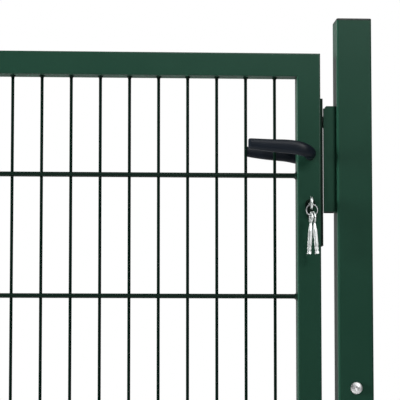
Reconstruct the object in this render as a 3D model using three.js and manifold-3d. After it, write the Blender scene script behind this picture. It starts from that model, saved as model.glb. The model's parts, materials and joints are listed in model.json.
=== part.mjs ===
// Single-leaf mesh gate between two square posts, with hinges, lock, levers and keys.
//
// Millimetres. +Z up, +X from the hinge post to the latch post, -Y the front.
// The origin is the middle of the footprint, level with the feet of the posts.
// Pieces that touch on the real gate keep the small gap `gap` here.

import * as THREE from 'three';
import { mergeVertices } from 'three/addons/utils/BufferGeometryUtils.js';
import Module from 'manifold-3d';

const wasm = await Module();
wasm.setup();

// ---------------------------------------------------------------- driving dimensions

const gap = 0.3;

const overall = { width: 1050, height: 1750 };
const post = { side: 60, wall: 2, corner: 3.5 };
const cap = { lid: 3, plug: 20, plugWall: 3 };
const panelBolt = { heights: [1116, 516], hole: 5.5, shank: 5, head: 10.25, dome: 5.5, tail: 44 };

const leaf = { left: -417.5, right: 437.5, bottom: 440, top: 1690 };
const frameTube = { side: 40, wall: 2, corner: 2.5 };

const mesh = { verticals: 15, pitch: 50, first: -340, upright: 5, double: 6, rows: 5, rowPitch: 207.5 };

const hinge = { x: -441, heights: { upper: 1530, lower: 600 }, eye: 28, eyeRadius: 13, rod: 6, bore: 6.5 };
const lug = { radius: 12, thickness: 6 };

const lock = { x: 418.5, spindle: 1514, cylinder: 1429, latch: 1573, deadbolt: 1470 };
const lockCase = { left: 401, right: 437.2, bottom: 1393, top: 1597, half: 8, wall: 1.6 };
const forend = { thickness: 4.3, width: 24, bottom: 1358.6, top: 1612.9 };
const latch = { height: 19, half: 5.6, tip: 452.5, back: 415 };
const deadbolt = { height: 25, half: 5.6, tip: 441.8, back: 403.2 };

const cylinder = { half: 27, radius: 8.5, neck: 10, drop: 24.5, plug: 6.4 };
const cam = { half: 4.9, hub: 7.6, nose: 15, noseWidth: 6 };

const keep = { half: 17, front: 442.8, rear: 446.0, sheet: 3, bend: 5, bottom: 1417, top: 1599 };

const lever = { out: 68, hub: 9, start: 22.6, socket: 46, frontReach: 109, rearReach: 104 };
const key = { bow: 11, thickness: 3.2, hole: 4, middle: -43, holeAt: -48, blade: 6.3, web: 2.2 };
const ring = { radius: 9.6, wire: 0.9 };
const spare = { bow: 10, thickness: 2.4, hole: 3.2, turn: 9 };
const spareShank = { top: 10, topWidth: 2.4, shoulder: 25, width: 6.4, end: 65.5, endWidth: 7.2 };

// ---------------------------------------------------------------- materials

function finish(colour, roughness, metalness) {
  return new THREE.MeshStandardMaterial({ color: colour, roughness, metalness });
}

const powderCoat = finish(0x1e3a2e, 0.5, 0);
const zinc = finish(0xb9bcbd, 0.4, 1);
const stainless = finish(0xd4d6d6, 0.22, 1);
const nickel = finish(0xc9c8c2, 0.25, 1);
const blackNylon = finish(0x14171b, 0.45, 0);
const blackPlastic = finish(0x101412, 0.6, 0);
const darkSteel = finish(0x34403a, 0.45, 1);
const springSteel = finish(0x6f7376, 0.35, 1);

// ---------------------------------------------------------------- solids and booleans

function solid(geometry) {
  const bare = geometry.clone();
  bare.deleteAttribute('normal');
  bare.deleteAttribute('uv');
  const merged = mergeVertices(bare, 1e-4);
  const vertProperties = new Float32Array(merged.attributes.position.array);
  const triVerts = new Uint32Array(merged.index.array);
  return new wasm.Manifold(new wasm.Mesh({ numProp: 3, vertProperties, triVerts }));
}

function surface(body) {
  const result = body.getMesh();
  const geometry = new THREE.BufferGeometry();
  geometry.setAttribute('position', new THREE.BufferAttribute(result.vertProperties, 3));
  geometry.setIndex(new THREE.BufferAttribute(result.triVerts, 1));
  geometry.computeVertexNormals();
  return geometry;
}

function join(...geometries) {
  const bodies = geometries.map(solid);
  return surface(bodies.reduce((whole, body) => whole.add(body)));
}

function cut(geometry, ...tools) {
  return surface(tools.map(solid).reduce((whole, tool) => whole.subtract(tool), solid(geometry)));
}

function common(first, second) {
  return surface(solid(first).intersect(solid(second)));
}

// ---------------------------------------------------------------- shapes and prisms

const fine = 5;
const coarse = 1;

// A prism of an outline drawn in X and Y, from zMin to zMax.
function slabXY(shape, zMin, zMax, curveSegments = fine) {
  const options = { depth: zMax - zMin, bevelEnabled: false, curveSegments };
  return new THREE.ExtrudeGeometry(shape, options).translate(0, 0, zMin);
}

// A prism of an outline drawn in X and Z, from yMin to yMax.
function slabXZ(shape, yMin, yMax) {
  return slabXY(shape, 0, yMax - yMin).rotateX(Math.PI / 2).translate(0, yMax, 0);
}

// A prism of an outline drawn in Y and Z, from xMin to xMax.
function slabYZ(shape, xMin, xMax, curveSegments = fine) {
  const turn = new THREE.Matrix4().makeBasis(
    new THREE.Vector3(0, 1, 0),
    new THREE.Vector3(0, 0, 1),
    new THREE.Vector3(1, 0, 0),
  );
  return slabXY(shape, xMin, xMax, curveSegments).applyMatrix4(turn);
}

// A box given by its limits along each axis.
function block(xMin, xMax, yMin, yMax, zMin, zMax) {
  return new THREE.BoxGeometry(xMax - xMin, yMax - yMin, zMax - zMin).translate(
    (xMin + xMax) / 2,
    (yMin + yMax) / 2,
    (zMin + zMax) / 2,
  );
}

// A round (or many-sided) bar or cone about an axis through the origin.
function bar(axis, from, to, radius, sides = 16, endRadius = radius) {
  const geometry = new THREE.CylinderGeometry(endRadius, radius, to - from, sides);
  geometry.translate(0, (from + to) / 2, 0);
  if (axis === 'x') geometry.rotateZ(-Math.PI / 2);
  if (axis === 'z') geometry.rotateX(Math.PI / 2);
  return geometry;
}

// A hexagonal bar, sized across its flats.
function hexBar(axis, from, to, acrossFlats) {
  return bar(axis, from, to, acrossFlats / Math.sqrt(3), 6);
}

function roundedRectangle(width, height, corner) {
  const x = width / 2 - corner;
  const y = height / 2 - corner;
  const shape = new THREE.Shape();
  shape.absarc(x, y, corner, 0, Math.PI / 2, false);
  shape.absarc(-x, y, corner, Math.PI / 2, Math.PI, false);
  shape.absarc(-x, -y, corner, Math.PI, Math.PI * 1.5, false);
  shape.absarc(x, -y, corner, Math.PI * 1.5, Math.PI * 2, false);
  shape.closePath();
  return shape;
}

// A square tube along Z, from zMin to zMax.
function squareTube({ side, wall, corner }, zMin, zMax) {
  const shape = roundedRectangle(side, side, corner);
  const inside = side - 2 * wall;
  shape.holes.push(roundedRectangle(inside, inside, corner - wall));
  return slabXY(shape, zMin, zMax, coarse);
}

function hexNut(axis, from, to, acrossFlats, hole) {
  return cut(hexBar(axis, from, to, acrossFlats), bar(axis, from - 1, to + 1, hole));
}

function washer(axis, from, to, radius, hole) {
  return cut(bar(axis, from, to, radius), bar(axis, from - 1, to + 1, hole));
}

// ---------------------------------------------------------------- the scene graph

function add(group, name, geometry, material, position = [0, 0, 0]) {
  const part = new THREE.Mesh(geometry, material);
  part.name = name;
  part.position.set(...position);
  group.add(part);
  return part;
}

const gate = new THREE.Group();
const postGroup = new THREE.Group();
const leafGroup = new THREE.Group();
const lockGroup = new THREE.Group();
gate.add(postGroup, leafGroup);
leafGroup.add(lockGroup);

// ---------------------------------------------------------------- posts

const postX = overall.width / 2 - post.side / 2;
const postTop = overall.height - cap.lid - gap;

function postTube() {
  const hole = bar('y', -post.side, post.side, panelBolt.hole);
  const holes = panelBolt.heights.map((z) => hole.clone().translate(0, 0, z));
  return cut(squareTube(post, 0, postTop), ...holes);
}

// The cap is a flat lid with a square collar that plugs into the tube.
function postCap() {
  const lid = slabXY(roundedRectangle(post.side, post.side, post.corner), 0, cap.lid, coarse);
  const outside = post.side - 2 * post.wall - 2 * gap;
  const inside = outside - 2 * cap.plugWall;
  const collar = roundedRectangle(outside, outside, 1);
  collar.holes.push(roundedRectangle(inside, inside, 1));
  return join(lid, slabXY(collar, -cap.plug, cap.lid / 2, coarse));
}

// A dome-head bolt from front to back, with a hexagonal recess in its head.
function domeBolt() {
  const face = -post.side / 2 - gap;
  const steps = 4;
  const profile = [
    new THREE.Vector2(0, panelBolt.tail),
    new THREE.Vector2(panelBolt.shank, panelBolt.tail),
    new THREE.Vector2(panelBolt.shank, face),
  ];
  for (let i = 0; i < steps; i += 1) {
    const angle = (i / steps) * (Math.PI / 2);
    const radius = panelBolt.head * Math.cos(angle);
    profile.push(new THREE.Vector2(radius, face - 1 - (panelBolt.dome - 1) * Math.sin(angle)));
  }
  profile.splice(3, 0, new THREE.Vector2(panelBolt.head, face));
  profile.push(new THREE.Vector2(0, face - panelBolt.dome));
  const bolt = new THREE.LatheGeometry(profile.reverse(), 20);
  return cut(bolt, hexBar('y', face - panelBolt.dome - 1, face - panelBolt.dome + 3.2, 6));
}

function flangeNut() {
  const back = post.side / 2 + gap;
  const body = join(bar('y', back, back + 1.5, 10.5), hexBar('y', back + 1, back + 10, 16));
  return cut(body, bar('y', back - 1, back + 11, panelBolt.shank + 0.4));
}

for (const [side, x] of [['hinge', -postX], ['latch', postX]]) {
  add(postGroup, `${side}_post`, postTube(), powderCoat, [x, 0, 0]);
  add(postGroup, `${side}_post_cap`, postCap(), blackPlastic, [x, 0, overall.height - cap.lid]);
  panelBolt.heights.forEach((z, i) => {
    const level = ['upper', 'lower'][i];
    add(postGroup, `${side}_post_panel_bolt_${level}`, domeBolt(), stainless, [x, 0, z]);
    add(postGroup, `${side}_post_panel_nut_${level}`, flangeNut(), zinc, [x, 0, z]);
  });
}

// ---------------------------------------------------------------- strike keep

// A channel bent from sheet: its web lies on the latch post, its two flanges point at the
// leaf, and the front one has its upper corner rounded away as a lead-in.
function strikeKeep() {
  const web = postX - post.side / 2 - gap;
  const { half, sheet, bend } = keep;
  const shape = new THREE.Shape();
  shape.moveTo(keep.front, -half);
  shape.lineTo(web - bend, -half);
  shape.absarc(web - bend, -half + bend, bend, -Math.PI / 2, 0, false);
  shape.absarc(web - bend, half - bend, bend, 0, Math.PI / 2, false);
  shape.lineTo(keep.rear, half);
  shape.lineTo(keep.rear, half - sheet);
  shape.absarc(web - bend, half - bend, bend - sheet, Math.PI / 2, 0, true);
  shape.absarc(web - bend, -half + bend, bend - sheet, 0, -Math.PI / 2, true);
  shape.lineTo(keep.front, -half + sheet);
  shape.closePath();
  const lead = new THREE.Shape();
  lead.moveTo(keep.front - 1, keep.top - 15);
  lead.lineTo(keep.front, keep.top - 15);
  lead.quadraticCurveTo(keep.front + 0.6, keep.top - 2, keep.front + 5, keep.top);
  lead.lineTo(keep.front + 5, keep.top + 1);
  lead.lineTo(keep.front - 1, keep.top + 1);
  return cut(slabXY(shape, keep.bottom, keep.top), slabXZ(lead, -half - 1, 0));
}

add(postGroup, 'strike_keep', strikeKeep(), powderCoat);

// ---------------------------------------------------------------- leaf frame

const middle = frameTube.side / 2;
const stileX = { hinge: leaf.left + middle, latch: leaf.right - middle };

// A frame tube along Z with both ends mitred at 45 degrees, its inner side towards -X.
function mitredTube(length) {
  const geometry = squareTube(frameTube, 0, 1);
  const points = geometry.attributes.position;
  for (let i = 0; i < points.count; i += 1) {
    const setBack = middle - points.getX(i) + gap * 0.75;
    const end = points.getZ(i) > 0.5 ? 1 : -1;
    points.setZ(i, end * (length / 2 - setBack));
  }
  return geometry;
}

const leafWidth = leaf.right - leaf.left;
const leafHeight = leaf.top - leaf.bottom;
const leafMiddle = { x: (leaf.left + leaf.right) / 2, z: (leaf.top + leaf.bottom) / 2 };

function hingeStile() {
  const tube = mitredTube(leafHeight).rotateZ(Math.PI).translate(stileX.hinge, 0, leafMiddle.z);
  const holes = Object.values(hinge.heights).map((z) => {
    return bar('x', leaf.left - 5, leaf.left + frameTube.side + 5, hinge.rod + 0.8).translate(0, 0, z);
  });
  return cut(tube, ...holes);
}

// The outline of a profile cylinder, made larger all round by `margin`.
function cylinderOutline(margin) {
  const radius = cylinder.radius + margin;
  const half = cylinder.neck / 2 + margin;
  const start = Math.asin(half / radius);
  const bottom = -cylinder.drop - margin;
  const shape = new THREE.Shape();
  shape.absarc(0, 0, radius, -Math.PI / 2 + start, Math.PI * 1.5 - start, false);
  shape.absarc(0, bottom + half, half, Math.PI, Math.PI * 2, false);
  shape.closePath();
  return shape;
}

// The latch stile has a slot for the lock case in its outer wall, the two screw holes of the
// forend, and openings for the lever bushes and the cylinder from front to back.
function latchStile() {
  const tube = mitredTube(leafHeight).translate(stileX.latch, 0, leafMiddle.z);
  const slotHalf = lockCase.half + 0.4;
  const slot = block(
    leaf.right - 5, leaf.right + 5, -slotHalf, slotHalf, lockCase.bottom - 1, lockCase.top + 1,
  );
  const bushHole = bar('y', -25, 25, 8.4).translate(lock.x, 0, lock.spindle);
  const cylinderHole = slabXZ(cylinderOutline(0.4), -25, 25).translate(lock.x, 0, lock.cylinder);
  const screwHole = bar('x', leaf.right - 5, leaf.right + 5, 2.8);
  const screwHoles = forendScrews().map((z) => screwHole.clone().translate(0, 0, z));
  return cut(tube, slot, bushHole, cylinderHole, ...screwHoles);
}

function forendScrews() {
  return [forend.top - 7, forend.bottom + 10];
}

function rail(turn, z) {
  return mitredTube(leafWidth).rotateY(turn).translate(leafMiddle.x, 0, z);
}

add(leafGroup, 'top_rail', rail(-Math.PI / 2, leaf.top - middle), powderCoat);
add(leafGroup, 'bottom_rail', rail(Math.PI / 2, leaf.bottom + middle), powderCoat);
add(leafGroup, 'hinge_stile', hingeStile(), powderCoat);
add(leafGroup, 'latch_stile', latchStile(), powderCoat);

// ---------------------------------------------------------------- mesh panel

// Single upright wires between pairs of cross wires, resistance-welded into one panel.
function meshPanel() {
  const inset = frameTube.side + gap;
  const overlap = 0.2;
  const crossY = mesh.upright / 2 + mesh.double / 2 - overlap;
  const half = { upright: mesh.upright / 2, double: mesh.double / 2 };
  const wires = [];
  for (let i = 0; i < mesh.verticals; i += 1) {
    const x = mesh.first + i * mesh.pitch;
    const { upright } = half;
    wires.push(block(x - upright, x + upright, -upright, upright, leaf.bottom + inset, leaf.top - inset));
  }
  for (let i = 0; i < mesh.rows; i += 1) {
    const z = leafMiddle.z + (i - (mesh.rows - 1) / 2) * mesh.rowPitch;
    for (const y of [-crossY, crossY]) {
      const { double } = half;
      const wire = block(leaf.left + inset, leaf.right - inset, -double, double, -double, double);
      wires.push(wire.translate(0, y, z));
    }
  }
  return join(...wires);
}

add(leafGroup, 'mesh_panel', meshPanel(), powderCoat);

// ---------------------------------------------------------------- hinges

const hingeToPost = hinge.x - (-postX + post.side / 2);
const hingeToLeaf = leaf.left - hinge.x;
const lugInner = hinge.eye / 2 + 0.5;
const lugOuter = lugInner + lug.thickness;

// Welded to the post: a plate with an upper and a lower lug around the hinge pin.
function hingeBracket() {
  const plate = block(-hingeToPost + gap, -hingeToPost + gap + 5, -14, 14, -lugOuter, lugOuter);
  const tongue = new THREE.Shape();
  tongue.moveTo(-hingeToPost + gap + 2, -lug.radius);
  tongue.lineTo(0, -lug.radius);
  tongue.absarc(0, 0, lug.radius, -Math.PI / 2, Math.PI / 2, false);
  tongue.lineTo(-hingeToPost + gap + 2, lug.radius);
  const lugs = [slabXY(tongue, lugInner, lugOuter), slabXY(tongue, -lugOuter, -lugInner)];
  return cut(join(plate, ...lugs), bar('z', -lugOuter - 1, lugOuter + 1, hinge.bore));
}

function hingePin() {
  const head = lugOuter + gap;
  return join(hexBar('z', head, head + 7.5, 18), bar('z', -lugOuter - 14, head + 1, hinge.rod));
}

// The eye turns on the pin and its threaded rod passes through the hinge stile.
function eyeBolt() {
  const eye = bar('z', -hinge.eye / 2, hinge.eye / 2, hinge.eyeRadius, 20);
  const rod = bar('x', hinge.eyeRadius - 2, hingeToLeaf + frameTube.side + 17, hinge.rod);
  return cut(join(eye, rod), bar('z', -hinge.eye, hinge.eye, hinge.bore));
}

const washerThickness = 2.5;
const outerWasher = hingeToLeaf - gap - washerThickness;
const innerWasher = hingeToLeaf + frameTube.side + gap;
const innerNut = innerWasher + washerThickness + gap;

for (const [level, z] of Object.entries(hinge.heights)) {
  const place = [hinge.x, 0, z];
  const nutHole = hinge.rod + 0.4;
  const pinNut = hexNut('z', -lugOuter - gap - 10, -lugOuter - gap, 18, nutHole);
  const outerNut = hexNut('x', outerWasher - gap - 6, outerWasher - gap, 18, nutHole);
  const frontWasher = washer('x', outerWasher, outerWasher + washerThickness, 12, nutHole);
  const backWasher = washer('x', innerWasher, innerWasher + washerThickness, 12, nutHole);
  add(postGroup, `hinge_bracket_${level}`, hingeBracket(), powderCoat, place);
  add(postGroup, `hinge_pin_${level}`, hingePin(), zinc, place);
  add(postGroup, `hinge_pin_nut_${level}`, pinNut, zinc, place);
  add(leafGroup, `eye_bolt_${level}`, eyeBolt(), zinc, place);
  add(leafGroup, `outer_nut_${level}`, outerNut, zinc, place);
  add(leafGroup, `outer_washer_${level}`, frontWasher, zinc, place);
  add(leafGroup, `inner_washer_${level}`, backWasher, zinc, place);
  add(leafGroup, `inner_nut_${level}`, hexNut('x', innerNut, innerNut + 10, 18, nutHole), zinc, place);
}

// ---------------------------------------------------------------- lock case and forend

const followerNeck = 7.5;
const cylinderScrewZ = lock.cylinder - 20;

function boltSlot(height, z, xMin, xMax) {
  const half = height / 2 + 0.5;
  return block(xMin, xMax, -latch.half - 0.5, latch.half + 0.5, z - half, z + half);
}

function boltSlots(xMin, xMax) {
  return [
    boltSlot(latch.height, lock.latch, xMin, xMax),
    boltSlot(deadbolt.height, lock.deadbolt, xMin, xMax),
  ];
}

// The holes for the follower and the cylinder in the walls of the lock case.
function lockHoles() {
  return [
    bar('y', -20, 20, followerNeck + 0.4).translate(lock.x, 0, lock.spindle),
    slabXZ(cylinderOutline(0.3), -20, 20).translate(lock.x, 0, lock.cylinder),
  ];
}

// The hole for the long screw that reaches the cylinder from the forend.
function cylinderScrewHole() {
  return bar('x', lockCase.right - 5, lockCase.right + 10, 2.8).translate(0, 0, cylinderScrewZ);
}

// A tray, open to the front, where the cover plate closes it.
function caseTray() {
  const { left, right, bottom, top, half, wall } = lockCase;
  const outside = block(left, right, -half + wall, half, bottom, top);
  const inside = block(left + wall, right - wall, -half, half - wall, bottom + wall, top - wall);
  return cut(outside, inside, ...boltSlots(right - 5, right + 5), ...lockHoles(), cylinderScrewHole());
}

function caseCover() {
  const { left, right, bottom, top, half, wall } = lockCase;
  return cut(block(left, right, -half, -half + wall - gap, bottom, top), ...lockHoles());
}

const forendBack = leaf.right + gap;
const forendFace = forendBack + forend.thickness;

function forendPlate() {
  const height = forend.top - forend.bottom;
  const outline = roundedRectangle(forend.width, height, 1.5);
  const plate = slabYZ(outline, forendBack, forendFace, coarse).translate(0, 0, forend.bottom + height / 2);
  const screwHoles = [...forendScrews(), cylinderScrewZ].flatMap((z) => [
    bar('x', forendBack - 1, forendFace + 1, 2.8).translate(0, 0, z),
    bar('x', forendFace - 2.4, forendFace + 0.01, 2.8, 16, 5.2).translate(0, 0, z),
  ]);
  return cut(plate, ...boltSlots(forendBack - 1, forendFace + 1), ...screwHoles);
}

// A countersunk screw with a straight slot, its head level with the forend.
function forendScrew() {
  const head = bar('x', forendFace - 2.4, forendFace - 0.05, 2.4, 16, 4.75);
  const shank = bar('x', forendFace - 14, forendFace - 2, 2.4, 12);
  return cut(join(head, shank), block(forendFace - 1.1, forendFace + 1, -6, 6, -0.6, 0.6));
}

add(lockGroup, 'lock_case', caseTray(), zinc);
add(lockGroup, 'lock_case_cover', caseCover(), zinc);
add(lockGroup, 'forend', forendPlate(), darkSteel);
forendScrews().forEach((z, i) => {
  add(lockGroup, `forend_screw_${['upper', 'lower'][i]}`, forendScrew(), zinc, [0, 0, z]);
});

// ---------------------------------------------------------------- latch bolt and deadbolt

const noseRadius = 18.5;
const noseLean = THREE.MathUtils.degToRad(17.5);
const noseTip = 2;

// The bolt head is bevelled at the back, and a tail reaches down to the follower's nose.
function latchBolt() {
  const { half, tip, back } = latch;
  const shape = new THREE.Shape();
  shape.moveTo(back, -half);
  shape.lineTo(tip, -half);
  shape.lineTo(tip, -half + 2);
  shape.lineTo(forendFace + 1, half);
  shape.lineTo(back, half);
  const bottom = lock.latch - latch.height / 2;
  const head = slabXY(shape, bottom, bottom + latch.height);
  const tailFace = lock.x + noseRadius * Math.sin(noseLean) - noseTip - 1;
  return join(head, block(tailFace - 5, tailFace, -2.5, 2.5, lock.spindle + 16, bottom + 2));
}

// The tail has a notch, open downwards, that the cam's nose pushes from either side.
function deadBolt() {
  const bottom = lock.deadbolt - deadbolt.height / 2;
  const body = block(
    deadbolt.back, deadbolt.tip, -deadbolt.half, deadbolt.half, bottom, bottom + deadbolt.height,
  );
  const notchX = lock.x - 7.5;
  const tail = block(notchX - 8.1, notchX + 9.2, -4.5, 4.5, lock.cylinder + 8.5, bottom + 2);
  const notch = block(notchX - 6.2, notchX + 6.2, -6, 6, lock.cylinder, lock.cylinder + 16.3);
  return join(body, cut(tail, notch));
}

add(lockGroup, 'latch_bolt', latchBolt(), nickel);
add(lockGroup, 'deadbolt', deadBolt(), nickel);

// ---------------------------------------------------------------- spindle, follower, levers

const leverGroup = new THREE.Group();
leverGroup.position.set(lock.x, 0, lock.spindle);
lockGroup.add(leverGroup);
const spindleSide = 8;
const socketSide = spindleSide + 2 * gap;

function follower() {
  const arm = new THREE.Shape();
  arm.moveTo(-4, 0);
  arm.lineTo(-noseTip * 0.8, noseRadius);
  arm.absarc(0, noseRadius, noseTip, Math.PI * 0.9, Math.PI * 0.1, true);
  arm.lineTo(4, 0);
  const nose = slabXZ(arm, -2.5, 2.5).rotateY(noseLean);
  const hub = join(bar('y', -2.5, 2.5, 9), bar('y', -lockCase.half, lockCase.half, followerNeck), nose);
  const half = socketSide / 2;
  return cut(hub, block(-half, half, -20, 20, -half, half));
}

// A torsion spring around the follower's neck, with two short legs.
class SpringPath extends THREE.Curve {
  getPoint(t) {
    const turns = 2.25;
    const angle = t * turns * Math.PI * 2;
    const radius = 8.7 + 3 * Math.max(0, Math.abs(t - 0.5) - 0.46) / 0.04;
    return new THREE.Vector3(radius * Math.cos(angle), 3.5 + 2.2 * t, radius * Math.sin(angle));
  }
}

function returnSpring() {
  const wire = new THREE.Shape();
  wire.absarc(0, 0, 0.45, 0, Math.PI * 2, false);
  const options = { steps: 32, curveSegments: 3, bevelEnabled: false, extrudePath: new SpringPath() };
  return new THREE.ExtrudeGeometry(wire, options);
}

// A flanged bush in the front wall (side -1) or the back wall (side 1) of the stile.
function leverBush(side) {
  const face = frameTube.side / 2 + gap;
  const flange = bar('y', face, face + 2, 9.5, 24);
  const neck = bar('y', face - 2.6, face + 1, 8, 24);
  const bush = cut(join(flange, neck), bar('y', 0, 40, 6.3));
  return side < 0 ? bush.rotateZ(Math.PI) : bush;
}

// Seen from the front, the grip rises from the hub and runs out level to its end.
function leverSideOutline(reach) {
  const { hub } = lever;
  const shape = new THREE.Shape();
  shape.moveTo(-reach + 3, 5);
  shape.quadraticCurveTo(-60, -0.8, -33, -3.2);
  shape.quadraticCurveTo(-20, -hub, -10, -hub);
  shape.lineTo(0, -hub);
  shape.absarc(0, 0, hub, -Math.PI / 2, Math.PI * 0.4, false);
  shape.lineTo(-17.5, 14.6);
  shape.quadraticCurveTo(-24, 20.3, -36, 20.7);
  shape.lineTo(-reach + 4, 23);
  shape.quadraticCurveTo(-reach, 23, -reach, 19);
  shape.lineTo(-reach, 8.5);
  shape.quadraticCurveTo(-reach, 5.4, -reach + 3, 5);
  return shape;
}

// Seen from above, the neck leaves the stile and bends into the grip. `side` is -1 or 1.
function leverPlanOutline(side, reach) {
  const { hub, out, start } = lever;
  const at = (x, y) => [x, side * y];
  const shape = new THREE.Shape();
  shape.moveTo(...at(hub, start));
  shape.lineTo(...at(hub, 40));
  shape.bezierCurveTo(...at(hub, 58), ...at(-2, out), ...at(-18, out));
  shape.lineTo(...at(-reach + 6, out - 1.5));
  shape.quadraticCurveTo(...at(-reach, out - 2), ...at(-reach, 60));
  shape.quadraticCurveTo(...at(-reach, 55), ...at(-reach + 5, 54.5));
  shape.lineTo(...at(-30, 53));
  shape.quadraticCurveTo(...at(-hub, 51), ...at(-hub, 38));
  shape.lineTo(...at(-hub, start));
  return shape;
}

function leverHandle(side, reach) {
  const { start, out, socket } = lever;
  const span = [side * start, side * out].sort((a, b) => a - b);
  const seenFromFront = slabXZ(leverSideOutline(reach), ...span);
  const seenFromAbove = slabXY(leverPlanOutline(side, reach), -20, 30);
  const body = common(seenFromFront, seenFromAbove);
  const half = socketSide / 2;
  const depth = [0, side * socket].sort((a, b) => a - b);
  const hole = block(-half, half, ...depth, -half, half);
  const screwHole = bar('z', -20, 0, 2.9, 16).translate(0, side * (start + 9), 0);
  return cut(body, hole, screwHole);
}

function grubScrew() {
  const screw = bar('z', -8.3, -spindleSide / 2 - gap, 2.5, 16);
  return cut(screw, hexBar('z', -9, -6.4, 2.5));
}

const spindleHalf = spindleSide / 2;
const spindleEnd = lever.socket - 1;
const spindle = block(-spindleHalf, spindleHalf, -spindleEnd, spindleEnd, -spindleHalf, spindleHalf);

add(leverGroup, 'spindle', spindle, zinc);
add(leverGroup, 'follower', follower(), zinc);
add(leverGroup, 'return_spring', returnSpring(), springSteel);
for (const [face, side, reach] of [['front', -1, lever.frontReach], ['rear', 1, lever.rearReach]]) {
  add(leverGroup, `${face}_lever_bush`, leverBush(side), blackPlastic);
  add(leverGroup, `${face}_lever`, leverHandle(side, reach), blackNylon);
  add(leverGroup, `${face}_lever_grub_screw`, grubScrew(), darkSteel, [0, side * (lever.start + 9), 0]);
}

// ---------------------------------------------------------------- lock cylinder

const cylinderGroup = new THREE.Group();
cylinderGroup.position.set(lock.x, 0, lock.cylinder);
lockGroup.add(cylinderGroup);

const camRoom = { half: 5.3, radius: 15.7 };
const cylinderScrewDrop = lock.cylinder - cylinderScrewZ;

function cylinderBody() {
  const body = slabXZ(cylinderOutline(0), -cylinder.half, cylinder.half);
  const bore = bar('y', -40, 40, cylinder.plug + 0.4);
  const room = bar('y', -camRoom.half, camRoom.half, camRoom.radius, 24);
  const thread = bar('x', -20, 20, 2.9, 16).translate(0, 0, -cylinderScrewDrop);
  return cut(body, bore, room, thread);
}

// Two plates that cross along Y, as a key blade or, made larger, as its keyway.
function crossedPlates(from, to, width, thickness) {
  const w = width / 2;
  const t = thickness / 2;
  return join(block(-w, w, from, to, -t, t), block(-t, t, from, to, -w, w));
}

function frontPlug() {
  const plug = bar('y', -cylinder.half - gap, -camRoom.half, cylinder.plug);
  return cut(plug, crossedPlates(-40, -7.6, key.blade + 0.8, key.web + 0.8));
}

function rearPlug() {
  const plug = bar('y', camRoom.half, cylinder.half + gap, cylinder.plug);
  return cut(plug, crossedPlates(cylinder.half - 19, 40, key.blade + 0.8, key.web + 0.8));
}

// The cam's nose stands 45 degrees towards the hinge side when the bolt is drawn back.
function cylinderCam() {
  const half = cam.noseWidth / 2;
  const nose = block(-half, half, -cam.half, cam.half, 0, cam.nose).rotateY(-Math.PI / 4);
  return join(bar('y', -cam.half, cam.half, cam.hub), nose);
}

// The long screw from the forend that holds the cylinder in the case.
function cylinderScrew() {
  const face = forendFace - lock.x;
  const head = bar('x', face - 2.4, face - 0.05, 2.4, 16, 4.4);
  const shank = bar('x', -8, face - 2, 2.4, 12);
  return cut(join(head, shank), block(face - 1.1, face + 1, -6, 6, -0.6, 0.6));
}

add(cylinderGroup, 'cylinder_body', cylinderBody(), darkSteel);
add(cylinderGroup, 'front_cylinder_plug', frontPlug(), darkSteel);
add(cylinderGroup, 'rear_cylinder_plug', rearPlug(), darkSteel);
add(cylinderGroup, 'cylinder_cam', cylinderCam(), darkSteel);
add(cylinderGroup, 'cylinder_screw', cylinderScrew(), zinc, [0, 0, -cylinderScrewDrop]);

// ---------------------------------------------------------------- keys and ring

// The key stands in the front plug with its bow upright, edge-on to the front.
function keyInLock() {
  const half = key.thickness / 2;
  const bow = bar('x', -half, half, key.bow, 24).translate(0, key.middle, 0);
  const hole = bar('x', -5, 5, key.hole).translate(0, key.holeAt, 0);
  const blade = crossedPlates(key.middle + key.bow - 2, -8, key.blade, key.web);
  return cut(join(bow, blade), hole);
}

// A spare key's shank widens from the bow to its shoulder, and a little more down to its end.
function spareShankOutline() {
  const { top, topWidth, shoulder, width, end, endWidth } = spareShank;
  const shape = new THREE.Shape();
  shape.moveTo(topWidth / 2, -top);
  shape.lineTo(-topWidth / 2, -top);
  shape.lineTo(-width / 2, -shoulder);
  shape.lineTo(-endWidth / 2, -end);
  shape.lineTo(endWidth / 2, -end);
  shape.lineTo(width / 2, -shoulder);
  return shape;
}

// A spare key hangs from the ring; its own origin is the middle of the ring's wire.
function spareKey() {
  const half = spare.thickness / 2;
  const holeDrop = spare.hole - ring.wire - 2 * gap;
  const bowDrop = holeDrop + 1.5;
  const bow = bar('x', -half, half, spare.bow, 24).translate(0, 0, -bowDrop);
  const hole = bar('x', -5, 5, spare.hole).translate(0, 0, -holeDrop);
  const web = key.web / 2;
  const outline = spareShankOutline();
  return cut(join(bow, slabXZ(outline, -web, web), slabYZ(outline, -web, web)), hole);
}

const ringGroup = new THREE.Group();
const ringTop = -key.hole + ring.wire + gap;
ringGroup.position.set(0, key.holeAt, ringTop - ring.radius);
cylinderGroup.add(ringGroup);

add(cylinderGroup, 'key_in_lock', keyInLock(), nickel);
const ringShape = new THREE.TorusGeometry(ring.radius, ring.wire, 6, 24).rotateX(Math.PI / 2);
add(ringGroup, 'key_ring', ringShape, zinc);

// Each spare key hangs a little to one side of the ring's lowest point, leans outwards and
// stands turned a little about its own length.
for (const [name, x, lean] of [['spare_key_a', -1.2, 3.5], ['spare_key_b', 3, -4.8]]) {
  const z = -Math.sqrt(ring.radius ** 2 - x ** 2);
  const part = add(ringGroup, name, spareKey(), nickel, [x, 0, z]);
  part.rotation.y = THREE.MathUtils.degToRad(lean);
  part.rotation.z = THREE.MathUtils.degToRad(spare.turn);
}

export default gate;
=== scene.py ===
"""A wire-mesh garden gate: powder-coated frame and posts, hinges, lock, levers and keys.

Every length is in metres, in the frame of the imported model. Places come from the boxes of
the model's nodes, and MM turns the few detail sizes, which are in millimetres, into metres.
"""
import json
import math

import bmesh
import bpy
import numpy as np
from mathutils import Matrix, Vector


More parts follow.
